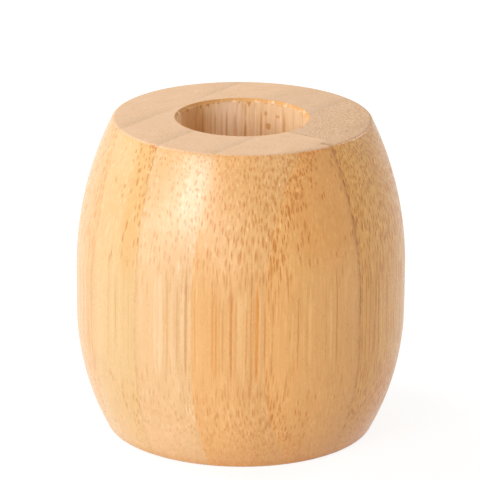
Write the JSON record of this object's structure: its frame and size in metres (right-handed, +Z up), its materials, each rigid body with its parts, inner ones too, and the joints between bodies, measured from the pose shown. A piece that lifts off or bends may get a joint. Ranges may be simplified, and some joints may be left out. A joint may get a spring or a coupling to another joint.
{
  "type": "toothbrush holder",
  "caption": "Barrel-shaped bamboo stand turned from a laminated block, with a round blind hole in its flat top that holds an upright toothbrush handle.",
  "frame": {"origin": "centre of the flat foot, on the surface that the holder stands on", "axes": "+Z up the turning axis and out of the hole; +Y through the stack of plies, from the front ply to the back ply; +X along the width of the strips"},
  "size_m": [0.0464, 0.0464, 0.045],
  "materials": {
    "bamboo_pale": "satin lacquer, pale gold strip with sparse fibre bundles",
    "bamboo_golden": "satin lacquer, golden strip",
    "bamboo_tan": "satin lacquer, tan strip with dense fibre bundles",
    "bamboo_brown": "satin lacquer, browner strip"
  },
  "bodies": {
    "root": {"ply_1_left_strip": "bamboo_tan", "ply_1_right_strip": "bamboo_brown", "ply_2_left_strip": "bamboo_tan", "ply_2_right_strip": "bamboo_golden", "ply_3_left_strip": "bamboo_pale", "ply_3_right_strip": "bamboo_golden", "ply_4_left_strip": "bamboo_pale", "ply_4_right_strip": "bamboo_golden", "ply_5_left_strip": "bamboo_golden", "ply_5_right_strip": "bamboo_pale", "ply_6_left_strip": "bamboo_golden", "ply_6_right_strip": "bamboo_tan"}
  },
  "joints": []
}
